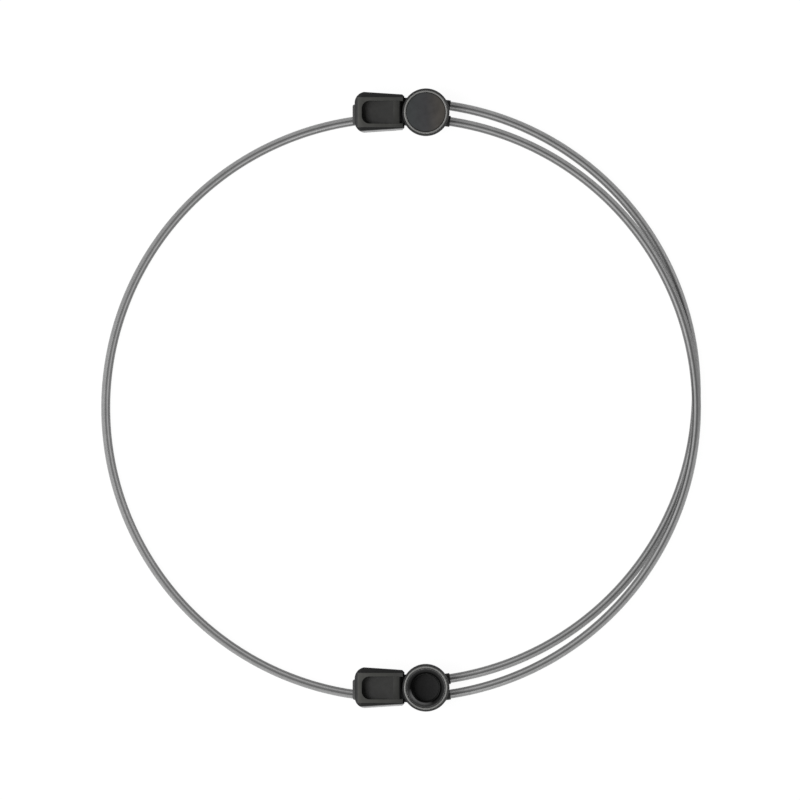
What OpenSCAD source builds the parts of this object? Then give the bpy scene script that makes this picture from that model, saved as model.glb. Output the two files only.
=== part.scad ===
// Adjustable ESD wrist strap, in millimetres.
// One sheathed steel cable goes round the wrist one and a half times. Each of its ends is held in
// one clasp and each clasp slides along the rest of the cable, so the loop opens and closes.
// +Z points away from the table, +Y from the lower clasp to the upper one, and the origin is the
// loop's centre on the surface that it lies on.

/* [Cable loop] */
// Radius of each bow of the cable, at its centre line
bow_r = 33.5; // [28:0.5:45]
// Outer diameter of the cable's sheath
cable_d = 1.05; // [0.85:0.05:1.3]
// Diameter of the steel core
core_d = 0.3; // [0.2:0.05:0.7]
// Distance between the two strands that leave one clasp
strand_pitch = 1.8; // [1.75:0.05:2.2]
// Length of the straight run in the upper clasp, between the left bow and the right bow
straight_run = 1.36; // [0.5:0.02:2]
// Vertical gap between the strands where one crosses over the other
crossing_gap = 0.12; // [0.05:0.01:0.3]
// Height of the lowest strand's underside above the table
rest_gap = 0.02; // [0.01:0.01:0.1]

/* [Clasp body] */
// Length of the left half, from the clasp's middle to its left tip
body_left = 5.6; // [5:0.1:7]
// Length of the right half, from the clasp's middle to the flat right end
body_right = 5.2; // [5.1:0.1:7]
// Width of the body's left half, under the lever
body_w = 3.7; // [3.6:0.1:4.4]
// Width of the body's right half, under the boss
right_w = 3.4; // [3.4:0.05:3.6]
// Radius of the body's upright corners
body_corner = 0.45; // [0.2:0.05:0.8]
// How much narrower the body is at its neck, on the side of the loop's centre
neck_cut = 0.2; // [0.1:0.05:0.25]
// Height of the body's underside, above the skin plate's face
body_z = 0.1; // [0.05:0.01:0.2]
// Thickness of the walls that close the hollow at both ends of the body
end_wall = 3.0; // [2.8:0.1:3.4]
// Thickness of the roof over the hollow
roof_t = 0.34; // [0.25:0.01:0.5]
// Height of the hollow over the cable
roof_gap = 0.2; // [0.1:0.01:0.3]
// Clearance round the cable where it slides through the body
slide_gap = 0.12; // [0.05:0.01:0.15]

/* [Socket] */
// Distance from the clasp's middle to the socket's axis
socket_x = 2.87; // [2.85:0.01:3.2]
// Outer radius of the round boss that holds the socket
boss_r = 2.74; // [2.6:0.02:2.9]
// Wall of the boss
boss_wall = 0.19; // [0.15:0.01:0.3]
// Height of the boss's rim
boss_z = 4.4; // [4.2:0.05:5.2]
// Height of the socket's seat in the boss
seat_z = 2.4; // [2.35:0.05:2.7]
// Radius of the bore that takes the earth cord's stud
bore_r = 1.65; // [1.35:0.05:1.8]
// Thickness of the socket's floor
cup_floor = 0.12; // [0.08:0.01:0.2]
// Height of the bore's straight wall
bore_len = 1.1; // [0.9:0.05:1.3]
// Width of the bright bezel, seen from above
bezel_w = 0.24; // [0.15:0.01:0.3]
// How far the bezel stands over the boss
bezel_proud = 0.1; // [0.05:0.01:0.2]
// Wire radius of the snap ring in the bore
snap_wire_r = 0.13; // [0.1:0.01:0.16]
// Opening angle of the snap ring
snap_gap_deg = 40; // [20:5:90]
// Thickness of the blanking cap's flange
cap_t = 0.08; // [0.05:0.01:0.12]

/* [Lever] */
// Distance from the clasp's middle to the lever's left end
lever_left = 5.36; // [4.9:0.02:6.5]
// Width of the lever at its left end
lever_w = 4.84; // [4.4:0.02:5.4]
// Width of the lever at its hinge
lever_hinge_w = 4.2; // [4:0.02:4.6]
// Height of the lever's top
lever_z = 4.2; // [4:0.05:5]
// Radius of the lever's left corners, seen from above
lever_corner = 1.3; // [0.6:0.02:1.4]
// Chamfer of the lever's right corners, seen from above
hinge_corner = 0.25; // [0.1:0.05:0.4]
// Width of the sloped flanks, seen from above
flank_w = 0.7; // [0.4:0.05:0.75]
// Height of the sloped flanks
flank_h = 0.95; // [0.5:0.05:1]
// Bevel along the left end's top edge
end_bevel = 0.4; // [0.2:0.05:0.5]
// Depth of the hinge pin's axis under the lever's top
hinge_depth = 0.57; // [0.55:0.01:0.58]
// Radius of the lever's knuckle, which covers the lug
knuckle_r = 0.6; // [0.59:0.01:0.64]
// Radius of the lever's cheeks, on both sides of the knuckle
cheek_r = 0.92; // [0.8:0.02:0.96]
// Radius of the hinge lug on the body
lug_r = 0.36; // [0.33:0.01:0.38]
// Width of the hinge lug
lug_w = 2.0; // [1.6:0.1:2.2]
// Radius of the hinge pin
pin_r = 0.2; // [0.15:0.01:0.22]
// Length of the hinge pin
pin_len = 2.9; // [2.6:0.1:3]
// Width of the finger scoop in the lever's top
scoop_w = 2.64; // [2.2:0.02:2.8]
// Distance from the lever's left end to the scoop
scoop_inset = 0.82; // [0.7:0.02:1.2]
// Depth of the scoop at its left end
scoop_depth = 1.1; // [0.6:0.05:1.3]
// Depth of the scoop where it runs out at the hinge
scoop_end_depth = 0.05; // [0.03:0.01:0.07]
// Radius of the scoop's corners, seen from above
scoop_corner = 0.9; // [0.3:0.05:1]

/* [Grip] */
// Length of the rubber pad that presses on the cable
pad_len = 1.2; // [0.9:0.1:1.3]
// Width of the pad
pad_w = 1.2; // [1.1:0.05:1.3]
// Distance from the clasp's middle to the pad's middle
pad_x = 3.45; // [3.4:0.05:3.6]
// How deep the pad sits in the lever
pad_sink = 0.45; // [0.3:0.05:0.6]

/* [Cable ends] */
// Distance from the clasp's middle to the cable's ends
cable_end_x = 3.0; // [2.9:0.05:3.2]
// Distance from the clasp's middle to the ferrules' open ends
ferrule_x = 4.85; // [4.6:0.05:4.9]
// Wall of the ferrules and of the collars
ferrule_wall = 0.085; // [0.07:0.005:0.12]
// How far the collars stand out of the body
collar_proud = 0.48; // [0.2:0.02:0.6]
// Radius of the contact pins between ferrules and sockets
contact_r = 0.3; // [0.15:0.01:0.35]

/* [Skin plate] */
// Thickness of the skin plate
plate_t = 0.25; // [0.2:0.01:0.28]
// Margin between the plate's edge and the body's side
plate_margin = 0.35; // [0.25:0.05:0.4]
// Shank radius of the plate's screws
screw_r = 0.22; // [0.15:0.01:0.25]
// Head radius of the plate's screws
screw_head_r = 0.45; // [0.35:0.01:0.5]
// Length of the plate's screws
screw_len = 1.3; // [0.9:0.1:1.5]

/* [Clearances] */
// Clearance between pieces that are fixed to each other
seat_gap = 0.01; // [0.005:0.005:0.03]
// Clearance between the hinge pin and the lever, and round the cable in grips and ferrules
run_gap = 0.03; // [0.02:0.01:0.05]
// Clearance between the lever and the fixed body
lever_gap = 0.05; // [0.04:0.01:0.1]

/* [Hidden] */
$fn = 48;
upper = 1;
lower = -1;

// Bows of the cable, in the plane that each lies in. The left bow and the over bow share one
// plane, which rises to the right, and the under bow's plane falls to the right.
bow_dx = straight_run / 2;
bow_dy = strand_pitch / 2;
left_c = [-bow_dx, -bow_dy];
over_c = [bow_dx, -bow_dy];
under_c = [bow_dx, bow_dy];
strand_y = bow_r + bow_dy;
clasp_y = bow_r - 0.24;
cable_r = cable_d / 2;
core_r = core_d / 2;

// The cable crosses the lower clasp from the inner channel on the right to the left exit in an S
// of two arcs, which a short hump joins where the two planes meet.
cross_from_x = cable_end_x;
cross_to_x = -(body_left + 0.5);
hump_half = 0.2;
// Runs of the cable meet inside the clasps. There the inner run is finer by a hair and reaches
// into its neighbours by a short lap.
hair = 0.003;
lap = 0.1;
function low_point(c, x) = [x, c[1] - sqrt(pow(bow_r, 2) - pow(x - c[0], 2))];
function turn_left(v) = [-v[1], v[0]];
function heading(v) = atan2(v[1], v[0]);
function turn_of(length, r) = length / r * 180 / PI;
cross_a = low_point(under_c, cross_from_x);
cross_b = low_point(left_c, cross_to_x);
out_a = (cross_a - under_c) / bow_r;
out_b = (cross_b - left_c) / bow_r;
span = cross_a - cross_b;
lean = out_a + out_b;
quad_a = lean * lean - 4;
quad_b = 2 * span * lean;
quad_c = span * span - 4 * pow(hump_half, 2);
cross_r = (-quad_b - sqrt(pow(quad_b, 2) - 4 * quad_a * quad_c)) / (2 * quad_a);
arc_a = cross_a + cross_r * out_a;
arc_b = cross_b - cross_r * out_b;
hump = (arc_a + arc_b) / 2;
step = arc_b - arc_a;
hump_dir = (2 * hump_half * step + 2 * cross_r * turn_left(step))
    / (4 * (pow(hump_half, 2) + pow(cross_r, 2)));

// Slope of the two planes, and the cable's height over the origin
tilt = asin((cable_d + crossing_gap) / (2 * (bow_r + bow_dx - hump[0])));
under_drop = (bow_r + bow_dx - 2 * hump[0]) * sin(tilt);
cable_z = rest_gap + cable_r + max(under_drop, (bow_r + bow_dx) * sin(tilt));
hump_slope = asin(abs(hump_dir[0]) * sin(tilt));
hump_r = hump_half / tan(hump_slope);

hinge_x = knuckle_r + lever_gap - (socket_x - boss_r);
lug_z = lever_z - hinge_depth;
cheek_x = cheek_r - hinge_x;
cheek_in = sqrt(pow(boss_r, 2) - pow(socket_x - cheek_x - lever_gap, 2));
hollow_z = cable_z + cable_r + roof_gap;
deck_z = hollow_z + roof_t;
lever_under = deck_z + lever_gap;
hollow_left = body_left - end_wall;
hollow_right = body_right - end_wall + 0.1;
channel_r = cable_r + slide_gap;
ferrule_r = cable_r + run_gap + ferrule_wall;
block_left = body_left - 0.4;
tip_low = -1.42;
tip_high = 0.92;
tip_corner = 0.25;
right_half = right_w / 2;
side_wall = 0.25;
pocket_r = boss_r - boss_wall;
cup_r = pocket_r - 0.02;
bezel_in_r = cup_r - bezel_w;
mouth_z = seat_z + cup_floor + bore_len;
snap_z = seat_z + cup_floor + bore_len / 2;
lip_z = boss_z - cap_t - 0.02;
mouth_r = bezel_in_r - 0.13;
shoulder_z = boss_z - 0.5;
socket_at = [socket_x, 0, 0];
screw_y = right_half - plate_margin - screw_head_r - 0.05;
right_screw_x = 1.2;
screw_at = [[-(pad_x + 0.15), screw_y, 0], [right_screw_x, screw_y, 0]];
pillar_r = screw_head_r + 0.2;
wide_end = -0.3;
neck_x = 0.15;
neck_half = 0.75;
neck_wall = 0.13;
contact_x = 3.9;
taper = atan((lever_w - lever_hinge_w) / 2 / (lever_left - hinge_x));
past = 0.1;
ink = [0.14, 0.14, 0.14];
satin_steel = [0.66, 0.66, 0.67];

function angle_at(c, x) = acos((x - c[0]) / bow_r);
function height_at(plane, x) = plane == "over"
    ? cable_z + x * sin(tilt)
    : cable_z + (2 * hump[0] - x) * sin(tilt);

// Plane of the left bow and the over bow
module over_plane() translate([0, 0, cable_z]) rotate([0, -tilt, 0]) children();

// Plane of the under bow. It meets the other at the hump.
module under_plane()
    translate([hump[0] * cos(tilt), 0, cable_z + hump[0] * sin(tilt)])
        rotate([0, tilt, 0]) translate([-hump[0], 0, 0]) children();

// Section of the cable or of a tube round it
module section(r, hole_r = 0) {
    difference() {
        circle(r = r);
        if (hole_r > 0) circle(r = hole_r);
    }
}

// Round bar bent to bend_r about c, from one angle to the other
module bent_bar(c, bend_r, from, to, r, hole_r = 0)
    translate([c[0], c[1], 0]) rotate([0, 0, min(from, to)])
        rotate_extrude(angle = abs(to - from)) translate([bend_r, 0]) section(r, hole_r);

module bow(c, from, to, r, hole_r = 0) bent_bar(c, bow_r, from, to, r, hole_r);

// The strand that is held by the clasp on this side, between two places along the clasp
module held_strand(side, x0, x1, r, hole_r = 0) {
    if (side == upper)
        under_plane() bow(under_c, angle_at(under_c, x0), angle_at(under_c, x1), r, hole_r);
    else
        over_plane() bow(over_c, -angle_at(over_c, x0), -angle_at(over_c, x1), r, hole_r);
}

// The strand that runs through the clasp on this side, to the right of the middle
module running_strand(side, x0, x1, r, hole_r = 0) {
    if (side == upper)
        over_plane() bow(over_c, angle_at(over_c, x0), angle_at(over_c, x1), r, hole_r);
    else
        under_plane() bow(under_c, -angle_at(under_c, x0), -angle_at(under_c, x1), r, hole_r);
}

// The S in the lower clasp: the arc on the right, the hump, and the arc on the left. Each arc
// reaches past its outer end by a number of degrees.
module cross_right(r, extra)
    under_plane() bent_bar(arc_a, cross_r, heading(-out_a) - extra,
                           heading(-turn_left(hump_dir)), r);

module cross_hump(r, extra)
    translate([hump[0] * cos(tilt), hump[1],
               cable_z + hump[0] * sin(tilt) - hump_r / cos(hump_slope)])
        rotate([0, 0, heading([hump_dir[0] * cos(tilt), hump_dir[1]])]) rotate([90, 0, 0])
            bent_bar([0, 0], hump_r, 90 - hump_slope - extra, 90 + hump_slope + extra, r);

module cross_left(r, extra)
    over_plane() bent_bar(arc_b, cross_r, heading(turn_left(hump_dir)),
                          heading(out_b) - extra, r);

// The whole cable as one round bar, which reaches past both ends of the cable by end_extra
module cable_run(r, end_extra = 0) {
    end_x = cable_end_x - end_extra;
    under_plane()
        bow(under_c, -angle_at(under_c, cross_from_x), angle_at(under_c, end_x), r);
    cross_right(r - hair, turn_of(lap, cross_r));
    cross_hump(r - 2 * hair, turn_of(lap, hump_r));
    cross_left(r - hair, turn_of(lap, cross_r));
    over_plane() {
        bow(left_c, 90, 360 + heading(out_b), r);
        translate([-bow_dx - lap, strand_y - 2 * bow_dy, 0]) rotate([90, 0, 90])
            linear_extrude(straight_run + 2 * lap) circle(r = r - hair);
        bow(over_c, -angle_at(over_c, end_x), 90, r);
    }
}

// The strand under the pad, on the left of the clasp
module gripped_strand(side, r) {
    if (side == upper)
        over_plane() bow(left_c, 90, angle_at(left_c, -(body_left + 1)), r);
    else
        cross_left(r, 5);
}

module at_clasp(side) translate([0, side * clasp_y, 0]) children();

// Rectangle with round corners, from corner a to corner b
module round_rect(a, b, r) {
    translate([a[0] + r, a[1]]) square([b[0] - a[0] - 2 * r, b[1] - a[1]]);
    translate([a[0], a[1] + r]) square([b[0] - a[0], b[1] - a[1] - 2 * r]);
    for (x = [a[0] + r, b[0] - r], y = [a[1] + r, b[1] - r]) translate([x, y]) circle(r = r);
}

module disc_at(at, z0, z1, r) translate([at[0], at[1], z0]) cylinder(r = r, h = z1 - z0);

module cable_core() color(satin_steel) cable_run(core_r);

module cable_sheath() {
    color([0.6, 0.6, 0.6, 0.6]) difference() {
        cable_run(cable_r);
        cable_run(core_r + seat_gap, 0.2);
    }
}

// Strip along the neck's edge, on the side of the loop's centre, as wide as depth
module neck_side(side, depth, half_length)
    translate([neck_x - half_length, side == upper ? -right_half - 1 : right_half - depth])
        square([2 * half_length, depth + 1]);

// Body seen from above: the left half is wider, and the neck is between the halves
module body_plan(side) {
    difference() {
        union() {
            round_rect([-block_left, -body_w / 2], [wide_end, body_w / 2], body_corner);
            round_rect([wide_end - 1, -right_half], [body_right, right_half], body_corner);
        }
        neck_side(side, neck_cut, neck_half);
    }
}

// Outside of the clasp body: block, tip, boss and hinge lug
module body_outside(side) {
    translate([0, 0, body_z]) linear_extrude(deck_z - body_z) body_plan(side);
    translate([0, 0, body_z + 0.25]) linear_extrude(deck_z - body_z - 0.4)
        round_rect([-body_left, tip_low], [0, tip_high], tip_corner);
    translate(socket_at) rotate_extrude()
        polygon([[0, 0.6], [right_half - 0.1, 0.6], [boss_r, 1.6], [boss_r, boss_z - 0.08],
                 [boss_r - 0.08, boss_z], [0, boss_z]]);
    translate([-hinge_x - lug_r, -lug_w / 2, deck_z - 0.1])
        cube([2 * lug_r, lug_w, lug_z - deck_z + 0.1]);
    translate([-hinge_x, lug_w / 2, lug_z]) rotate([90, 0, 0]) cylinder(r = lug_r, h = lug_w);
}

// The hollow under the roof, with a pillar left for the right screw and a wall along the neck
module body_hollow(side) {
    translate([0, 0, -1]) linear_extrude(hollow_z + 1) difference() {
        translate([-hollow_left, side_wall - right_half])
            square([hollow_left + hollow_right, right_w - 2 * side_wall]);
        translate([screw_at[1][0], side * screw_at[1][1]]) circle(r = pillar_r);
        neck_side(side, neck_cut + neck_wall, neck_half + 0.2);
    }
}

module clasp_body(side) {
    color(ink) difference() {
        at_clasp(side) difference() {
            body_outside(side);
            body_hollow(side);
            disc_at(socket_at, seat_z, boss_z + 1, pocket_r);
            translate([0, 0, -1]) linear_extrude(1 + plate_t + seat_gap)
                plate_outline(-seat_gap);
            translate([-hinge_x, lug_w, lug_z]) rotate([90, 0, 0])
                cylinder(r = pin_r + seat_gap, h = 2 * lug_w);
            for (i = [0, 1])
                disc_at([screw_at[i][0], side_of(i, side) * screw_at[i][1]], -1,
                        screw_len + 0.1, screw_r + seat_gap);
            pad_window(side);
        }
        gripped_strand(side, channel_r);
        running_strand(side, hollow_right - 0.4, body_right + 1, channel_r);
        running_strand(side, body_right - 0.25, body_right + 1, ferrule_r + seat_gap);
        held_strand(side, cable_end_x - 0.4, body_right + 1, ferrule_r + seat_gap);
        contact_place(side) translate([0, 0, -2]) cylinder(r = contact_r + seat_gap, h = 4 + seat_z);
    }
}

// The left screw is on the same side of both clasps, and the right one is on the outer side.
function side_of(i, side) = i == 0 ? 1 : side;

function pad_y(side) = side == upper
    ? -bow_dy + sqrt(pow(bow_r, 2) - pow(pad_x - bow_dx, 2)) - clasp_y
    : arc_b[1] - sqrt(pow(cross_r, 2) - pow(pad_x + arc_b[0], 2)) + clasp_y;

// Opening in the deck that the pad swings through, so it is longer on the left
module pad_window(side)
    translate([-pad_x - pad_len / 2 - 0.5, pad_y(side) - pad_w / 2 - lever_gap, cable_z])
        cube([pad_len + 0.5 + lever_gap, pad_w + 2 * lever_gap, deck_z]);

// Origin at the cable's axis in the ferrule
module contact_place(side)
    translate([contact_x, side * (bow_dy + sqrt(pow(bow_r, 2) - pow(contact_x - bow_dx, 2))), 0])
        children();

module plate_outline(grow)
    round_rect([-block_left + plate_margin + grow, -right_half + plate_margin + grow],
               [body_right - plate_margin - grow, right_half - plate_margin - grow], body_corner);

function ferrule_z(side) = height_at(side == upper ? "under" : "over", contact_x);

module skin_plate(side) {
    color(satin_steel) {
        at_clasp(side) difference() {
            linear_extrude(plate_t) plate_outline(0);
            for (i = [0, 1])
                translate([screw_at[i][0], side_of(i, side) * screw_at[i][1], -0.001])
                    cylinder(r1 = screw_head_r + seat_gap, r2 = screw_r + seat_gap,
                             h = plate_t + 0.002);
        }
        contact_place(side) cylinder(r = contact_r, h = ferrule_z(side) - ferrule_r - 2 * seat_gap);
    }
}

module plate_screws(side) {
    color(satin_steel) at_clasp(side) for (i = [0, 1])
        translate([screw_at[i][0], side_of(i, side) * screw_at[i][1], 0]) {
            cylinder(r1 = screw_head_r, r2 = screw_r, h = plate_t);
            cylinder(r = screw_r, h = screw_len);
        }
}

// Lever seen from above: round corners on the left, and narrower towards the hinge, where the
// corners are cut off
module lever_block() {
    left = -lever_left - past;
    left_y = lever_hinge_w / 2 + (-hinge_x - left) * tan(taper);
    corner_y = lever_hinge_w / 2 - (cheek_r - hinge_corner) * tan(taper);
    end_y = corner_y - hinge_corner - past;
    round_y = lever_w / 2 - 0.6 * lever_corner * tan(taper);
    intersection() {
        linear_extrude(lever_z + 1)
            polygon([[left, -left_y], [left, left_y], [cheek_x - hinge_corner, corner_y],
                     [cheek_x + past, end_y], [cheek_x + past, -end_y],
                     [cheek_x - hinge_corner, -corner_y]]);
        linear_extrude(lever_z + 1)
            round_rect([-lever_left, -round_y], [cheek_x + 2, round_y], lever_corner);
    }
}

// Round end of the lever about the hinge pin's axis, seen from the side and flat on top
module round_end(r) {
    intersection() {
        translate([-hinge_x, lug_z]) circle(r = r);
        translate([-hinge_x - 1, lug_z - 1]) square([2, 1 + hinge_depth]);
    }
}

// Lever seen from the side: nail bevel and end bevel on the left, cheek on the right
module lever_profile() {
    polygon([[-lever_left + 0.35, lever_under], [-hinge_x, lever_under], [-hinge_x, lever_z],
             [-lever_left + end_bevel, lever_z], [-lever_left, lever_z - end_bevel],
             [-lever_left, lever_under + 0.45]]);
    round_end(cheek_r);
}

// What the knuckle leaves free between the cheeks, in front of the boss
module knuckle_gap() {
    translate([0, cheek_in, 0]) rotate([90, 0, 0]) linear_extrude(2 * cheek_in) difference() {
        translate([-hinge_x, lever_under - 1]) square([2, lever_z - lever_under + 2]);
        round_end(knuckle_r);
    }
}

// Wedge that slopes one flank of the lever. The flank's upper edge is parallel to the scoop.
module flank_cut(s)
    translate([-lever_left - 1, s * lever_w / 2, lever_z - flank_h]) rotate([90, 0, 90])
        linear_extrude(lever_left + 3)
            polygon([[0, 0], [-s * flank_w, flank_h], [-s * flank_w, flank_h + 1],
                     [s * 1, flank_h + 1], [s * 1, 0]]);

module lever(side) {
    color(ink) at_clasp(side) difference() {
        intersection() {
            lever_block();
            translate([0, lever_w, 0]) rotate([90, 0, 0]) linear_extrude(2 * lever_w)
                lever_profile();
        }
        for (s = [-1, 1]) flank_cut(s);
        scoop();
        knuckle_gap();
        lug_slot();
        translate([-hinge_x, pin_len / 2 + run_gap, lug_z]) rotate([90, 0, 0])
            cylinder(r = pin_r + run_gap, h = pin_len + 2 * run_gap);
        pad_block(side, seat_gap, -1);
    }
}

// Slot for the lug, closed on top and open to the right, where the lug points when the lever is up
module lug_slot() {
    width = lug_w + 2 * lever_gap;
    translate([-hinge_x, width / 2, lug_z]) rotate([90, 0, 0])
        cylinder(r = lug_r + lever_gap, h = width);
    translate([-hinge_x - lug_r - 0.08, -width / 2, 0]) cube([2 * lug_r + 1, width, lug_z]);
    translate([-hinge_x, -width / 2, lug_z - 0.1]) cube([lug_r + 1, width, lug_r + 0.1]);
}

// Finger scoop: deepest under the round left end, and running out at the hinge
module scoop() {
    x0 = -lever_left + scoop_inset;
    intersection() {
        linear_extrude(lever_z + 1)
            round_rect([x0, -scoop_w / 2], [1.5, scoop_w / 2], scoop_corner);
        translate([0, lever_w, 0]) rotate([90, 0, 0]) linear_extrude(2 * lever_w)
            polygon([[x0 - 1, lever_z - scoop_depth], [x0 + 0.5, lever_z - scoop_depth],
                     [-hinge_x - lug_r, lever_z - scoop_end_depth], [1.6, lever_z - scoop_end_depth],
                     [1.6, lever_z + 1], [x0 - 1, lever_z + 1]]);
    }
}

module hinge_pin(side)
    color(satin_steel) at_clasp(side) translate([-hinge_x, pin_len / 2, lug_z]) rotate([90, 0, 0])
        cylinder(r = pin_r, h = pin_len);

module pad_block(side, grow, z0)
    translate([-pad_x - pad_len / 2 - grow, pad_y(side) - pad_w / 2 - grow, z0])
        cube([pad_len + 2 * grow, pad_w + 2 * grow, lever_under + pad_sink + grow - z0]);

module grip_pad(side) {
    color([0.08, 0.08, 0.08]) difference() {
        at_clasp(side) pad_block(side, 0, cable_z + 0.3);
        gripped_strand(side, cable_r + run_gap);
    }
}

module ferrule(side) {
    color(satin_steel) difference() {
        held_strand(side, cable_end_x - 0.35, ferrule_x, ferrule_r);
        held_strand(side, cable_end_x - 0.1, body_right + 1, cable_r + run_gap);
    }
}

module exit_collars(side) {
    color([0.05, 0.05, 0.05]) {
        held_strand(side, body_right - 0.24, body_right + collar_proud, ferrule_r,
                    cable_r + run_gap);
        running_strand(side, body_right - 0.24, body_right + collar_proud, ferrule_r,
                       cable_r + run_gap);
    }
}

module contact_pin(side) {
    z0 = ferrule_z(side) + ferrule_r + 2 * seat_gap;
    color(satin_steel) contact_place(side) translate([0, 0, z0])
        cylinder(r = contact_r, h = seat_z - z0);
}

module socket_cup(side) {
    color(satin_steel) at_clasp(side) translate(socket_at) difference() {
        rotate_extrude()
            polygon([[0, seat_z], [cup_r, seat_z], [cup_r, shoulder_z],
                     [bezel_in_r - 0.01, shoulder_z], [bezel_in_r - 0.01, lip_z],
                     [mouth_r, lip_z], [bore_r, mouth_z], [bore_r, seat_z + cup_floor],
                     [0, seat_z + cup_floor]]);
        translate([0, 0, snap_z]) rotate_extrude() translate([bore_r + 0.01, 0])
            circle(r = snap_wire_r + 0.02);
    }
}

module snap_ring(side)
    color(satin_steel) at_clasp(side) translate([socket_x, 0, snap_z])
        rotate([0, 0, 90 + snap_gap_deg / 2]) rotate_extrude(angle = 360 - snap_gap_deg)
            translate([bore_r + 0.01, 0]) circle(r = snap_wire_r);

module bezel(side) {
    ring_r = bezel_w / 2;
    color([0.8, 0.8, 0.8]) at_clasp(side) translate(socket_at) rotate_extrude() {
        translate([bezel_in_r, shoulder_z])
            square([bezel_w, boss_z + bezel_proud - ring_r - shoulder_z]);
        translate([bezel_in_r + ring_r, boss_z + bezel_proud - ring_r]) circle(r = ring_r);
    }
}

// Cap that closes the socket of the upper clasp
module blanking_cap() {
    cap_r = bezel_in_r - 0.03;
    slope = (mouth_r - bore_r) / (lip_z - mouth_z);
    color([0.28, 0.28, 0.29]) at_clasp(upper) translate(socket_at) rotate_extrude()
        polygon([[0, lip_z + cap_t], [cap_r, lip_z + cap_t], [cap_r, lip_z],
                 [mouth_r - 0.03, lip_z], [mouth_r - 0.03 - 0.3 * slope, lip_z - 0.3],
                 [mouth_r - 0.25 - 0.3 * slope, lip_z - 0.3], [mouth_r - 0.4, lip_z - 0.05],
                 [0, lip_z - 0.05]]);
}

cable_core();
cable_sheath();
clasp_body(upper);  // body_upper
skin_plate(upper);  // skin_plate_upper
plate_screws(upper);  // plate_screws_upper
lever(upper);  // lever_upper
hinge_pin(upper);  // hinge_pin_upper
grip_pad(upper);  // grip_pad_upper
ferrule(upper);  // ferrule_upper
exit_collars(upper);  // exit_collars_upper
contact_pin(upper);  // contact_pin_upper
socket_cup(upper);  // socket_cup_upper
snap_ring(upper);  // snap_ring_upper
bezel(upper);  // bezel_upper
blanking_cap();
clasp_body(lower);  // body_lower
skin_plate(lower);  // skin_plate_lower
plate_screws(lower);  // plate_screws_lower
lever(lower);  // lever_lower
hinge_pin(lower);  // hinge_pin_lower
grip_pad(lower);  // grip_pad_lower
ferrule(lower);  // ferrule_lower
exit_collars(lower);  // exit_collars_lower
contact_pin(lower);  // contact_pin_lower
socket_cup(lower);  // socket_cup_lower
snap_ring(lower);  // snap_ring_lower
bezel(lower);  // bezel_lower
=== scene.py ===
"""Adjustable ESD wrist strap: a sheathed steel cable loop held by two sliding lever clasps."""
import math

import bmesh
import bpy
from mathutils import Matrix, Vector


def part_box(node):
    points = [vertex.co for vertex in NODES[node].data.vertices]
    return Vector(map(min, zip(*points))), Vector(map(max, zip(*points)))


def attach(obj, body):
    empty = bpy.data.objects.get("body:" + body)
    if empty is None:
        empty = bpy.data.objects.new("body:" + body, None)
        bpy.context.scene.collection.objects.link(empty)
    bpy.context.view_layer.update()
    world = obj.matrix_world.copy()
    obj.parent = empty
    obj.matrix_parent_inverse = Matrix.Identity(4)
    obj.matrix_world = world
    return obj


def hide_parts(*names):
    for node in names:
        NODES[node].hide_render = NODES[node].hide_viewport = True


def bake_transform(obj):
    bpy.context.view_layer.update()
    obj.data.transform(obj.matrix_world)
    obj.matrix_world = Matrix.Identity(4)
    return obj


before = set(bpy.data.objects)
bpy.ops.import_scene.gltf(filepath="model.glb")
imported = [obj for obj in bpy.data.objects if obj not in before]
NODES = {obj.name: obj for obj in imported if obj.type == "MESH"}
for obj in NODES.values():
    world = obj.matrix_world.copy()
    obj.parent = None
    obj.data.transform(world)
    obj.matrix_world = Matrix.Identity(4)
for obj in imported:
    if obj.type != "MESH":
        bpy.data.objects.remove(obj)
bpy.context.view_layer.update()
MM = 0.001
CLASPS = {"upper": 1, "lower": -1}
RIGHT, FRONT, UP = (1, 0, 0), (0, -1, 0), (0, 0, 1)

# The cable's route in millimetres, as in the construction
BOW_R = 33.5
STRAND_PITCH = 1.8
STRAIGHT_RUN = 1.36
CABLE_R = 0.525
CORE_R = 0.15
CROSSING_GAP = 0.12
CABLE_END_X = 3.0
CROSS_LEFT_X = -6.1
CROSS_MID_X = -0.32
CLASP_Y = BOW_R - 0.24
BOW_DX, BOW_DY = STRAIGHT_RUN / 2, STRAND_PITCH / 2
LEFT_C = Vector((-BOW_DX, -BOW_DY))
OVER_C = Vector((BOW_DX, -BOW_DY))
UNDER_C = Vector((BOW_DX, BOW_DY))
S_BEND_PULL = 0.36
S_BEND_STEPS = 24
RING_STEP = 0.7
SHEATH_SIDES = 24

# The core is a rope of six strands
STRANDS = 6
STRAND_LAY = 2.2
CORE_STEP = 0.2
CORE_VALLEY = 0.78
CORE_SIDES = 3 * STRANDS

# Places on a clasp in millimetres, from the clasp's middle
SOCKET_X = 2.87
SEAT_Z = 2.4
CUP_R = 2.53
CUP_FLOOR = 0.12
SHOULDER_Z = 3.9
LIP_Z = 4.3
MOUTH_R = 2.16
MOUTH_Z = 3.62
BORE_R = 1.65
BEZEL_IN_R = 2.29
BEZEL_W = 0.24
BEZEL_TOP = 4.5
SEAT_GAP = 0.01
CAP_R = 2.26
CAP_TOP = 4.38
LEVER_Z = 4.2
LEVER_LEFT = 5.36
LEVER_UNDER_Z = 2.6
HINGE_X, HINGE_HALF_W = -1.1, 1.7
SCOOP_DEPTH = 1.1
RIM_W = 0.82
BODY_LEFT = 5.6
DECK_Z = 2.2
DECK_TOLERANCE = 0.02
CHANNEL_HALF_W = 1.4
COLLAR_X = 5.4

# Lower edge of the lever's front flank: its height at the clasp's middle and its rise to the right
FLANK_Z = 3.73
FLANK_RISE = 0.088

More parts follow.
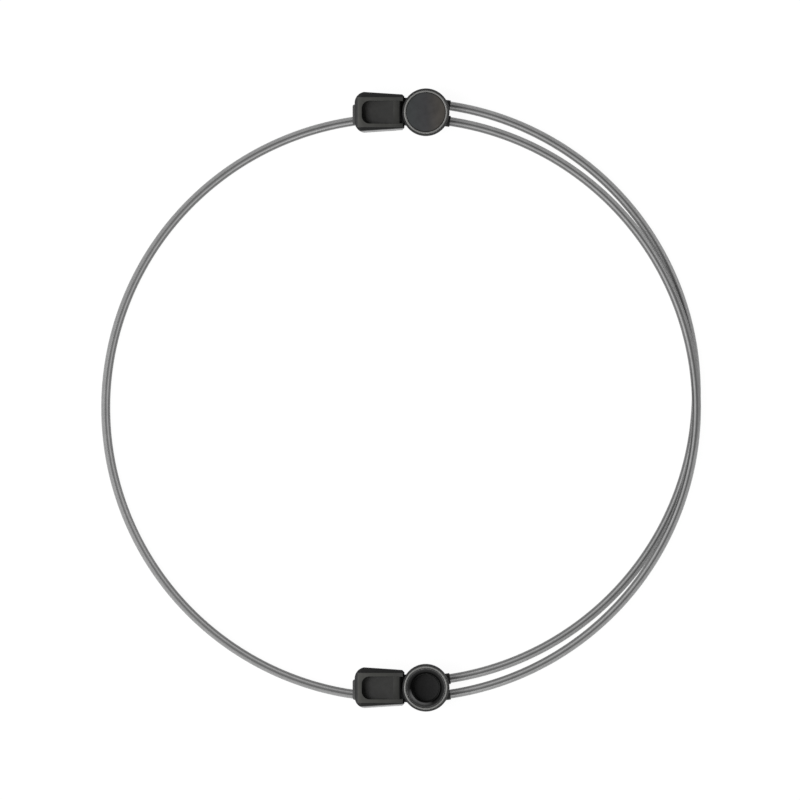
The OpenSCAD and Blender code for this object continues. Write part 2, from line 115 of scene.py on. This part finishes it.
# The painted highlight line on the front flank: its grey, and its height over that edge, full and
# faded out
FLANK_HIGHLIGHT_TONE = 0.36
FLANK_HIGHLIGHT_FULL, FLANK_HIGHLIGHT_OUT = 0.14, 0.32

# Radii of soft edges in millimetres
LEVER_SOFT = 0.09
BODY_SOFT = 0.08
COLLAR_SOFT = 0.16
BEZEL_SOFT = 0.07
CAP_SOFT = 0.05
LIP_SOFT, MOUTH_SOFT, BORE_SOFT = 0.03, 0.08, 0.1

# Angles in degrees between two faces: below FLAT they become one face, past BEVELLED their edge is
# bevelled, and past SHARP or TUBE_SHARP it shows as an edge
FLAT = 1
BEVELLED = 28
SHARP = 35
TUBE_SHARP = 60

# Segments of a full turn, of a rounded corner and of a bevel
CUP_SEGMENTS = 128
RING_SEGMENTS = 160
CORNER_STEPS = 4
BEVEL_SEGMENTS = 3

# In metres: how far apart two points may be to become one, and the depth of a surface's fine grain
WELD = 1e-8
MOULD_DEPTH = 0.00002
BRUSH_DEPTH = 0.00001

# Stage, in metres and watts. Each light has a name, a place, a width and a power.
FLOOR_REACH = 1.5
FLOOR_GLOW = 0.945
WORLD_LIGHT = 0.28
LIGHTS = [("softbox", (-1.0, -0.1, 1.55), 1.2, 34),
          ("front", (0.2, -1.2, 0.9), 0.5, 10),
          ("right", (1.2, 0.55, 0.45), 0.4, 5)]


# ---------------------------------------------------------------- meshes

def shade(obj, angle):
    """Smooth shading, with sharp edges where two faces meet at more than the angle in degrees."""
    for face in obj.data.polygons:
        face.use_smooth = True
    obj.data.set_sharp_from_angle(angle=math.radians(angle))


def from_bmesh(name, bm, smooth_angle=SHARP):
    """An object in the scene with bm's mesh, and its normals outwards."""
    bmesh.ops.recalc_face_normals(bm, faces=bm.faces)
    mesh = bpy.data.meshes.new(name)
    bm.to_mesh(mesh)
    bm.free()
    obj = bpy.data.objects.new(name, mesh)
    bpy.context.scene.collection.objects.link(obj)
    shade(obj, smooth_angle)
    return obj


def rounded(profile, radii):
    """The closed profile with corners rounded: radii maps a corner's index to its radius."""
    out = []
    for i, here in enumerate(profile):
        r = radii.get(i, 0)
        if not r:
            out.append(here)
            continue
        p = Vector(here)
        a = (Vector(profile[i - 1]) - p).normalized()
        b = (Vector(profile[(i + 1) % len(profile)]) - p).normalized()
        reach = r / math.tan(a.angle(b) / 2)
        start, end = p + a * reach, p + b * reach
        for step in range(CORNER_STEPS + 1):
            t = step / CORNER_STEPS
            q = start * (1 - t) ** 2 + p * 2 * t * (1 - t) + end * t ** 2
            out.append((q.x, q.y))
    return out


def lathe(name, profile, side, segments):
    """Closed profile of (radius, height) points, turned about the axis of a clasp's socket."""
    bm = bmesh.new()
    cx, cy = SOCKET_X, CLASPS[side] * CLASP_Y
    rings = []
    for i in range(segments):
        turn = 2 * math.pi * i / segments
        across, along_y = math.cos(turn), math.sin(turn)
        rings.append([bm.verts.new(((cx + r * across) * MM, (cy + r * along_y) * MM, z * MM))
                      for r, z in profile])
    for i in range(segments):
        near, far = rings[i], rings[(i + 1) % segments]
        for j in range(len(profile)):
            k = (j + 1) % len(profile)
            if profile[j][0] > 0 or profile[k][0] > 0:
                bm.faces.new((near[j], near[k], far[k], far[j]))
    bmesh.ops.remove_doubles(bm, verts=bm.verts, dist=WELD)
    return from_bmesh(name, bm)


def softened(node, width, wants):
    """A copy of a CAD node with soft edges. wants says which sharp edges it rounds, from the
    edge's middle in millimetres from the clasp's middle."""
    bm = bmesh.new()
    bm.from_mesh(NODES[node].data)
    bmesh.ops.remove_doubles(bm, verts=bm.verts, dist=WELD)
    bmesh.ops.dissolve_limit(bm, angle_limit=math.radians(FLAT), verts=bm.verts, edges=bm.edges)
    shift = Vector((0, CLASPS[node.rsplit("_", 1)[1]] * CLASP_Y, 0))
    edges = [e for e in bm.edges if len(e.link_faces) == 2
             and e.calc_face_angle() > math.radians(BEVELLED)
             and wants((e.verts[0].co + e.verts[1].co) / 2 / MM - shift)]
    bmesh.ops.bevel(bm, geom=edges, offset=width * MM, segments=BEVEL_SEGMENTS, profile=0.5,
                    affect="EDGES", clamp_overlap=True)
    obj = from_bmesh(node + "_moulded", bm)
    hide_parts(node)
    return obj


# ---------------------------------------------------------------- the cable

def cable_heights():
    """Height of the cable's axis at the loop's middle, and its rise per millimetre to the right."""
    reach = BOW_R + BOW_DX
    slope = (2 * CABLE_R + CROSSING_GAP) / (2 * (reach - CROSS_MID_X))
    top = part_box("cable_sheath")[1].z / MM
    return top - CABLE_R - reach * slope, slope


MID_Z, SLOPE = cable_heights()


def over(p):
    """The point on the strand that rises to the right and lies on top there."""
    return Vector((p.x, p.y, MID_Z + p.x * SLOPE))


def under(p):
    """The point on the strand that falls to the right and lies below there."""
    return Vector((p.x, p.y, MID_Z + (2 * CROSS_MID_X - p.x) * SLOPE))


def arc(centre, start_deg, end_deg):
    """Points of a bow between two angles."""
    sweep = end_deg - start_deg
    count = max(2, round(math.radians(abs(sweep)) * BOW_R / RING_STEP))
    turns = [math.radians(start_deg + sweep * i / count) for i in range(count + 1)]
    return [centre + BOW_R * Vector((math.cos(a), math.sin(a))) for a in turns]


def angle_at(centre, x):
    """Angle of the bow's upper point at x."""
    return math.degrees(math.acos((x - centre.x) / BOW_R))


def along(centre, p):
    """Direction of a bow at a point on it, clockwise."""
    out = (p - centre).normalized()
    return Vector((out.y, -out.x))


def s_bend(a, b):
    """Points of the S from the under bow's point a to the left bow's point b, without its ends."""
    pull = (a - b).length * S_BEND_PULL
    c, d = a + along(UNDER_C, a) * pull, b - along(LEFT_C, b) * pull
    points = []
    for i in range(1, S_BEND_STEPS):
        t = i / S_BEND_STEPS
        u = 1 - t
        points.append(u ** 3 * a + 3 * u ** 2 * t * c + 3 * u * t * t * d + t ** 3 * b)
    return points


def low_point(centre, x):
    """The bow's lower point at x."""
    return Vector((x, centre.y - math.sqrt(BOW_R ** 2 - (x - centre.x) ** 2)))


def side_angle(centre):
    """Angle of the bow's point that is level with the loop's centre."""
    return math.degrees(math.asin(-centre.y / BOW_R))


def cable_runs():
    """The cable's six runs, each with its clasp, its hand (-1 in the loop's left half, 1 in the
    right) and its true ends. A run goes from a clasp to the loop's side or the other way."""
    cross_a, cross_b = low_point(UNDER_C, CABLE_END_X), low_point(LEFT_C, CROSS_LEFT_X)
    under_mid, over_mid = side_angle(UNDER_C), side_angle(OVER_C)
    left_mid = 180 - side_angle(LEFT_C)
    left_end = math.degrees(math.atan2(cross_b.y - LEFT_C.y, cross_b.x - LEFT_C.x)) + 360
    bend = s_bend(cross_a, cross_b)
    under_upper = [under(p) for p in arc(UNDER_C, angle_at(UNDER_C, CABLE_END_X), under_mid)]
    lower_right = [under(p) for p in arc(UNDER_C, under_mid, -angle_at(UNDER_C, CABLE_END_X))]
    lower_right += [under(p) for p in bend if p.x > CROSS_MID_X]
    lower_left = [lower_right[-1]]
    lower_left += [over(p) for p in bend if p.x <= CROSS_MID_X]
    lower_left += [over(p) for p in arc(LEFT_C, left_end, left_mid)]
    upper_left = [over(p) for p in arc(LEFT_C, left_mid, 90)]
    upper_right = [upper_left[-1]] + [over(p) for p in arc(OVER_C, 90, over_mid)]
    over_lower = [over(p) for p in arc(OVER_C, over_mid, -angle_at(OVER_C, CABLE_END_X))]
    return {
        "upper_end": (under_upper, "upper", 1, [0]),
        "lower_right": (lower_right, "lower", 1, []),
        "lower_left": (lower_left, "lower", -1, []),
        "upper_left": (upper_left, "upper", -1, []),
        "upper_right": (upper_right, "upper", 1, []),
        "lower_end": (over_lower, "lower", 1, [-1]),
    }


def resampled(points, step):
    """The same route with points at equal steps, and how far along the route each is."""
    out, reached, start = [], 0.0, 0.0
    for a, b in zip(points, points[1:]):
        length = (b - a).length
        while reached <= start + length:
            out.append((a.lerp(b, (reached - start) / length), reached))
            reached += step
        start += length
    return out + [(points[-1], start)]


def tube(name, stations, sides, radius, closed):
    """Tube along stations, each a point in millimetres and its distance along the route.
    radius(turn, distance) gives the section, and closed lists the ends, 0 or -1, that have a face:
    an end where the next run goes on is open. The attribute "inner" is 1 towards the centre."""
    bm = bmesh.new()
    inner = bm.verts.layers.float.new("inner")
    rings = []
    for i, (p, distance) in enumerate(stations):
        before, after = stations[max(i - 1, 0)][0], stations[min(i + 1, len(stations) - 1)][0]
        ahead = (after - before).normalized()
        outward = Vector(UP).cross(ahead).normalized()
        up = ahead.cross(outward)
        ring = []
        for k in range(sides):
            turn = 2 * math.pi * k / sides
            spoke = math.cos(turn) * outward + math.sin(turn) * up
            v = bm.verts.new((p + radius(turn, distance) * spoke) * MM)
            v[inner] = 0.5 - 0.5 * math.cos(turn)
            ring.append(v)
        rings.append(ring)
    for near, far in zip(rings, rings[1:]):
        for k in range(sides):
            bm.faces.new((near[k], near[(k + 1) % sides], far[(k + 1) % sides], far[k]))
    for end in closed:
        bm.faces.new(rings[end])
    return from_bmesh(name, bm, TUBE_SHARP)


def rope(turn, distance):
    """Radius of the core's section, which twists along the core: a crest on each strand."""
    crest = 0.5 + 0.5 * math.cos(STRANDS * (turn - 2 * math.pi * distance / STRAND_LAY))
    return CORE_R * (CORE_VALLEY + (1 - CORE_VALLEY) * crest)


def make_cable(sheath_finish, core_finish):
    """Sheath and core of each run, each with its finish, in place of the CAD cable."""
    for run, (points, side, hand, ends) in cable_runs().items():
        sheath = tube(f"sheath_{run}", resampled(points, RING_STEP), SHEATH_SIDES,
                      lambda turn, distance: CABLE_R, ends)
        core = tube(f"core_{run}", resampled(points, CORE_STEP), CORE_SIDES, rope, ends)
        for part, obj, finish in (("sheath", sheath, sheath_finish), ("core", core, core_finish)):
            obj.data.materials.append(finish)
            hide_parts("cable_" + part)
            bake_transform(obj)


# ---------------------------------------------------------------- materials

def grey(v):
    return (v, v, v)


class Nodes:
    """A new material's node tree, with short calls for the nodes that it uses."""

    def __init__(self, name):
        self.material = bpy.data.materials.new(name)
        self.material.use_nodes = True
        self.tree = self.material.node_tree
        self.shader = self.tree.nodes["Principled BSDF"]

    def add(self, kind, **values):
        """A node of a kind, with its inputs and settings by name."""
        node = self.tree.nodes.new(kind)
        for key, value in values.items():
            if key in node.inputs:
                node.inputs[key].default_value = value
            else:
                setattr(node, key, value)
        return node

    def join(self, out, into):
        self.tree.links.new(out, into)

    def coordinates(self, output="Object"):
        return self.add("ShaderNodeTexCoord").outputs[output]

    def noise(self, scale, detail=3, vector=None):
        node = self.add("ShaderNodeTexNoise", Scale=scale, Detail=detail)
        self.join(vector or self.coordinates(), node.inputs["Vector"])
        return node.outputs["Fac"]

    def ramp(self, fac, stops):
        """Colour by fac, where each stop is (place from 0 to 1, colour)."""
        node = self.add("ShaderNodeValToRGB")
        elements = node.color_ramp.elements
        while len(elements) < len(stops):
            elements.new(0.5)
        for element, (at, colour) in zip(elements, stops):
            element.position = at
            element.color = (*colour, 1)
        self.join(fac, node.inputs["Fac"])
        return node.outputs["Color"]

    def multiplied(self, a, b):
        mix = self.add("ShaderNodeMix", data_type="RGBA", blend_type="MULTIPLY")
        mix.inputs["Factor"].default_value = 1
        self.join(a, mix.inputs["A"])
        self.join(b, mix.inputs["B"])
        return mix.outputs["Result"]

    def blended(self, fac, a, b):
        """Colour a where fac is 0 and b where it is 1. Either may be a fixed grey."""
        mix = self.add("ShaderNodeMix", data_type="RGBA")
        self.join(fac, mix.inputs["Factor"])
        for socket, colour in (("A", a), ("B", b)):
            if isinstance(colour, float):
                mix.inputs[socket].default_value = (colour, colour, colour, 1)
            else:
                self.join(colour, mix.inputs[socket])
        return mix.outputs["Result"]

    def product(self, a, b):
        node = self.add("ShaderNodeMath", operation="MULTIPLY")
        self.join(a, node.inputs[0])
        self.join(b, node.inputs[1])
        return node.outputs["Value"]

    def ranged(self, value, low, high):
        """0 to 1 as the value goes from low to high."""
        node = self.add("ShaderNodeMapRange")
        node.inputs["From Min"].default_value = low
        node.inputs["From Max"].default_value = high
        self.join(value, node.inputs["Value"])
        return node.outputs["Result"]

    def along(self, direction, output):
        dot = self.add("ShaderNodeVectorMath", operation="DOT_PRODUCT")
        self.join(self.coordinates(output), dot.inputs[0])
        dot.inputs[1].default_value = direction
        return dot.outputs["Value"]

    def place(self, direction, low, high):
        """0 to 1 from low to high along a direction, in millimetres."""
        return self.ranged(self.along(direction, "Object"), low * MM, high * MM)

    def facing(self, direction, low, high):
        """0 to 1 as the surface turns to a direction: low and high are cosines."""
        return self.ranged(self.along(direction, "Normal"), low, high)

    def paint(self, colour):
        self.join(colour, self.shader.inputs["Base Color"])

    def mottled(self, colour, scale, detail, darkest, spread=0.2):
        """Paints with a colour in soft spots, the darkest of them so many times as bright."""
        spots = self.ramp(self.noise(scale, detail),
                          [(0.5 - spread, grey(darkest)), (0.5 + spread, grey(1.0))])
        self.paint(self.multiplied(colour, spots))

    def surface(self, roughness, specular=0.5, metallic=0):
        """The shader's plain values, with its own for specular and metallic if none is given."""
        self.shader.inputs["Roughness"].default_value = roughness
        self.shader.inputs["Specular IOR Level"].default_value = specular
        self.shader.inputs["Metallic"].default_value = metallic

    def bump(self, height, strength, distance):
        """Fine relief: distance is its depth in metres."""
        node = self.add("ShaderNodeBump", Strength=strength, Distance=distance)
        self.join(height, node.inputs["Height"])
        self.join(node.outputs["Normal"], self.shader.inputs["Normal"])


def lever_tones(m, colour):
    """Painted light and shade: painted shade darkens the scoop, whose slope takes more light, and
    painted highlights lighten the left end and a line along the lower edge of the front flank."""
    # Painted shade: the scoop is painted darker, most on its slope, which takes more light.
    scoop = m.ramp(m.place(UP, LEVER_Z - SCOOP_DEPTH, LEVER_Z),
                   [(0, grey(0.24)), (0.5, grey(0.29)), (0.75, grey(0.33)), (0.95, grey(0.36)),
                    (0.954, grey(0.68)), (0.985, grey(0.8)), (1, grey(1))])
    scoop_x, blur = -LEVER_LEFT + RIM_W, 0.15
    in_scoop = m.place(RIGHT, scoop_x - blur, scoop_x)
    colour = m.multiplied(colour, m.blended(in_scoop, 1.0, scoop))
    # Painted highlight: the lever is painted lighter at its left end, which faces the light, and
    # darker to the right.
    colour = m.multiplied(colour, m.ramp(m.place(RIGHT, -LEVER_LEFT, -LEVER_LEFT + 1),
                                         [(0, grey(1)), (1, grey(0.62))]))
    # Painted highlight: a light line along the lower edge of the front flank, on faces that look to
    # the front.
    on_flank = m.product(m.facing(FRONT, 0.72, 0.78), m.facing(UP, 0.4, 0.5))
    at_edge = m.place((-FLANK_RISE, 0, 1), FLANK_Z + FLANK_HIGHLIGHT_OUT, FLANK_Z + FLANK_HIGHLIGHT_FULL)
    return m.blended(m.product(on_flank, at_edge), colour, FLANK_HIGHLIGHT_TONE)


def body_tones(m, colour):
    """Painted highlight: lighter at the left tip, which faces the light."""
    return m.multiplied(colour, m.ramp(m.place(RIGHT, -BODY_LEFT + 0.2, -BODY_LEFT + 0.6),
                                       [(0, grey(1)), (1, grey(0.3))]))


def moulded_plastic(name, tones, top, edge, side, roughness, specular):
    """Moulded plastic with a fine spark-eroded grain. top, edge and side are its colours on faces
    that look up, on bevels and on walls: the walls darker as painted shade. tones(nodes, colour)
    adds the painted light and shade that differ by place."""
    m = Nodes(name)
    # Painted shade: faces are painted darker the further they turn from looking up.
    shade_by_slope = m.ramp(m.facing(UP, 0, 1), [(0.0, side), (0.6, side), (0.82, edge), (0.97, top)])
    m.mottled(tones(m, shade_by_slope), scale=1300, detail=5, darkest=0.8)
    rough = m.add("ShaderNodeMapRange")
    rough.inputs["To Min"].default_value = roughness - 0.06
    rough.inputs["To Max"].default_value = roughness + 0.08
    m.join(m.noise(2600, 2), rough.inputs["Value"])
    m.join(rough.outputs["Result"], m.shader.inputs["Roughness"])
    m.shader.inputs["Specular IOR Level"].default_value = specular
    m.bump(m.noise(14000, 3), 0.25, MOULD_DEPTH)
    return m.material


def metal(name, colour, roughness, stretch=(1, 1, 1)):
    """Brushed metal. Its grain runs along the axis that stretch makes coarse."""
    m = Nodes(name)
    place = m.add("ShaderNodeMapping")
    place.inputs["Scale"].default_value = stretch
    m.join(m.coordinates(), place.inputs["Vector"])
    grain = m.noise(9000, 3, place.outputs["Vector"])
    m.paint(m.ramp(grain, [(0.25, [c * 0.82 for c in colour]), (0.75, colour)]))
    m.surface(roughness, metallic=1)
    m.bump(grain, 0.15, BRUSH_DEPTH)
    return m.material


def rubber(name, colour):
    """Matt rubber, a little mottled."""
    m = Nodes(name)
    m.paint(m.ramp(m.noise(4000, 3), [(0.3, colour), (0.7, [c * 1.4 for c in colour])]))
    m.surface(roughness=0.75, specular=0.25)
    m.bump(m.noise(16000, 2), 0.3, MOULD_DEPTH)
    return m.material


def cup_metal(name):
    """Plated cup: a brushed conical mouth round a bore. Painted shade darkens the bore, a painted
    shadow rings the mouth just over the bore, and a painted highlight lies on the mouth's left and
    front.
    """
    m = Nodes(name)
    # Painted shade by height: the bore dark, a darker painted shadow ring just over its top, and
    # the mouth lighter towards the lip.
    tone = m.ramp(m.place(UP, SEAT_Z + CUP_FLOOR, LIP_Z),
                  [(0.0, grey(0.012)), (0.25, grey(0.02)), (0.6, grey(0.02)), (0.64, grey(0.006)),
                   (0.72, grey(0.008)), (0.79, grey(0.04)), (1.0, grey(0.075))])
    # Painted highlight: the mouth's faces that look to the back right, on its left and front, are
    # painted light.
    back_right, mouth_highlight_tone = (0.5, 0.87, 0), 0.36
    lit = m.facing(back_right, 0.45, 0.75)
    over_bore = m.place(UP, MOUTH_Z + 0.06, MOUTH_Z + 0.16)
    under_lip = m.place(UP, LIP_Z - 0.05, MOUTH_Z + 0.25)
    tone = m.blended(m.product(m.product(lit, over_bore), under_lip), tone, mouth_highlight_tone)
    m.mottled(tone, scale=5000, detail=3, darkest=0.75)
    m.surface(roughness=0.42, specular=0.2, metallic=0.7)
    m.bump(m.noise(9000, 3), 0.15, BRUSH_DEPTH)
    return m.material


def cap_face(name):
    """Dark lacquered metal, finely brushed, with a painted reflection: bluish and darker on its
    left, brownish and lighter on its right.
    """
    m = Nodes(name)
    # Painted reflection: from bluish and dark on the left to brownish and lighter on the right.
    across = m.ramp(m.place(RIGHT, SOCKET_X - CAP_R, SOCKET_X + CAP_R),
                    [(0.1, (0.017, 0.020, 0.021)), (0.5, (0.025, 0.025, 0.027)),
                     (0.9, (0.050, 0.044, 0.038))])
    m.mottled(across, scale=1100, detail=5, darkest=0.68, spread=0.18)
    m.surface(roughness=0.52, specular=0.3, metallic=0.2)
    m.bump(m.noise(7000, 4), 0.15, BRUSH_DEPTH)
    return m.material


def clear_sheath(name):
    """Half-clear grey sheath with painted shade: darker over the core and along the side of the
    loop's centre.
    """
    m = Nodes(name)
    inner = m.add("ShaderNodeAttribute", attribute_name="inner")
    m.join(m.ramp(inner.outputs["Fac"], [(0.0, grey(0.60)), (0.12, grey(0.70)), (1.0, grey(0.70))]),
           m.shader.inputs["Alpha"])
    # Painted light and shade in stripes round the tube: dark over the core and along the side
    # towards the loop's centre, lighter between.
    tone = m.ramp(inner.outputs["Fac"], [(0.0, grey(0.23)), (0.26, grey(0.22)), (0.37, grey(0.11)),
                                         (0.5, grey(0.11)), (0.6, grey(0.28)), (0.7, grey(0.29)),
                                         (0.79, grey(0.07)), (0.9, grey(0.06)), (0.97, grey(0.18))])
    m.mottled(tone, scale=900, detail=3, darkest=0.85)
    m.surface(roughness=0.32, specular=0.35)
    m.bump(m.noise(3000, 2), 0.08, MOULD_DEPTH)
    return m.material


# ---------------------------------------------------------------- pieces of the clasps

def clasp_piece(obj, side, finish, body=None):
    """Gives a piece its finish and slot, and lets it ride on its clasp or on another body."""
    obj.data.materials.clear()
    obj.data.materials.append(finish)
    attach(obj, body or "clasp_" + side)


def socket_cup(side, finish):
    """Metal cup with a conical mouth, seated in the body."""
    lip_r = BEZEL_IN_R - SEAT_GAP
    floor_z = SEAT_Z + CUP_FLOOR
    profile = rounded([(0, SEAT_Z), (CUP_R, SEAT_Z), (CUP_R, SHOULDER_Z), (lip_r, SHOULDER_Z),
                       (lip_r, LIP_Z), (MOUTH_R, LIP_Z), (BORE_R, MOUTH_Z),
                       (BORE_R, floor_z), (0, floor_z)],
                      {4: LIP_SOFT, 5: LIP_SOFT, 6: MOUTH_SOFT, 7: BORE_SOFT})
    obj = lathe("socket_" + side, profile, side, CUP_SEGMENTS)
    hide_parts("socket_cup_" + side)
    clasp_piece(obj, side, finish)


def bezel(side, finish):
    """Bright ring round the cup's mouth."""
    out_r = BEZEL_IN_R + BEZEL_W
    profile = rounded([(BEZEL_IN_R, SHOULDER_Z), (out_r, SHOULDER_Z),
                       (out_r, BEZEL_TOP), (BEZEL_IN_R, BEZEL_TOP)],
                      {2: BEZEL_SOFT, 3: BEZEL_SOFT})
    obj = lathe("bezel_ring_" + side, profile, side, RING_SEGMENTS)
    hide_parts("bezel_" + side)
    clasp_piece(obj, side, finish)


def blanking_cap(finish):
    """Flat disc that closes the upper clasp's socket."""
    profile = rounded([(0, LIP_Z), (CAP_R, LIP_Z), (CAP_R, CAP_TOP), (0, CAP_TOP)], {2: CAP_SOFT})
    obj = lathe("cap_disc", profile, "upper", RING_SEGMENTS)
    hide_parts("blanking_cap")
    clasp_piece(obj, "upper", finish)


def lever(side, finish):
    """The lever with soft edges, other than round its hinge."""
    def rim(p):
        return p.z > LEVER_UNDER_Z and not (p.x > HINGE_X and abs(p.y) < HINGE_HALF_W)
    obj = softened("lever_" + side, LEVER_SOFT, rim)
    clasp_piece(obj, side, finish, "lever_arm_" + side)


def body(side, finish):
    """The clasp's body with a soft edge round its deck, outside the channels."""
    def outside(p):
        return abs(p.z - DECK_Z) < DECK_TOLERANCE and abs(p.y) > CHANNEL_HALF_W
    obj = softened("body_" + side, BODY_SOFT, outside)
    clasp_piece(obj, side, finish)


def collars(side, finish):
    """The two rubber collars with rounded mouths."""
    def mouth(p):
        return p.x > COLLAR_X
    obj = softened("exit_collars_" + side, COLLAR_SOFT, mouth)
    clasp_piece(obj, side, finish)


def dress(node, finish):
    """Gives a CAD node, which keeps its own mesh, its finish."""
    obj = NODES[node]
    for slot in obj.material_slots:
        slot.material = finish
    shade(obj, SHARP)


# ---------------------------------------------------------------- stage

def make_camera():
    """Straight down on the loop from afar, with the object framed as seen in the reference view."""
    height = 2.0
    subject_z = 0.003
    frame_width = 0.09248
    centre_x = -0.0001156
    data = bpy.data.cameras.new("camera")
    data.lens = data.sensor_width * (height - subject_z) / frame_width
    camera = bpy.data.objects.new("camera", data)
    camera.location = (centre_x, 0, height)
    bpy.context.scene.collection.objects.link(camera)
    bpy.context.scene.camera = camera


def make_floor():
    """A sheet of white paper on a light table, so shadows on it are faint."""
    bm = bmesh.new()
    bmesh.ops.create_grid(bm, x_segments=1, y_segments=1, size=FLOOR_REACH)
    floor = from_bmesh("floor", bm)
    m = Nodes("pale_floor")
    m.paint(m.ramp(m.noise(40, 2), [(0.3, grey(0.055)), (0.7, grey(0.07))]))
    m.shader.inputs["Emission Color"].default_value = (1, 1, 1, 1)
    m.shader.inputs["Emission Strength"].default_value = FLOOR_GLOW
    m.surface(roughness=0.8, specular=0.1)
    floor.data.materials.append(m.material)


def make_lights():
    """Soft light from all round and the area lights, each turned to the strap."""
    world = bpy.data.worlds.new("studio")
    bpy.context.scene.world = world
    world.use_nodes = True
    background = world.node_tree.nodes["Background"]
    background.inputs["Color"].default_value = (1, 1, 1, 1)
    background.inputs["Strength"].default_value = WORLD_LIGHT
    for name, at, size, power in LIGHTS:
        data = bpy.data.lights.new(name, "AREA")
        data.size = size
        data.energy = power
        light = bpy.data.objects.new(name, data)
        light.location = at
        light.rotation_euler = (-Vector(at)).to_track_quat("-Z", "Y").to_euler()
        bpy.context.scene.collection.objects.link(light)


# ---------------------------------------------------------------- the strap

def build():
    """Stage, finishes and every piece of the strap."""
    bpy.context.scene.view_settings.view_transform = "Standard"
    make_camera()
    make_floor()
    make_lights()
    # The side colours are painted shade on the walls.
    lever_plastic = moulded_plastic("lever_plastic_finish", lever_tones, top=(0.07, 0.07, 0.065),
                                    edge=grey(0.07), side=grey(0.011), roughness=0.5, specular=0.13)
    body_plastic = moulded_plastic("body_plastic_finish", body_tones, top=grey(0.07),
                                   edge=grey(0.07), side=grey(0.04), roughness=0.52, specular=0.25)
    steel = metal("steel_finish", (0.55, 0.55, 0.56), roughness=0.32, stretch=(0.1, 1, 1))
    core_steel = metal("core_finish", grey(0.12), roughness=0.5)
    bezel_metal = metal("bezel_finish", (0.17, 0.17, 0.165), roughness=0.5)
    # Painted shade: the snap ring's steel is painted near black to read as shadow inside the
    # socket.
    steel_in_painted_shade = metal("dark_steel_finish", grey(0.015), roughness=0.5)
    socket_metal = cup_metal("socket_finish")
    cap = cap_face("cap_finish")
    collar = rubber("collar_finish", grey(0.008))
    pad = rubber("pad_finish", grey(0.015))
    make_cable(clear_sheath("sheath_finish"), core_steel)
    for side in CLASPS:
        lever(side, lever_plastic)
        body(side, body_plastic)
        socket_cup(side, socket_metal)
        bezel(side, bezel_metal)
        for name, finish in (("skin_plate", steel), ("plate_screws", steel), ("hinge_pin", steel),
                             ("ferrule", steel), ("contact_pin", steel), ("snap_ring", steel_in_painted_shade),
                             ("grip_pad", pad)):
            dress(f"{name}_{side}", finish)
        collars(side, collar)
    blanking_cap(cap)


build()
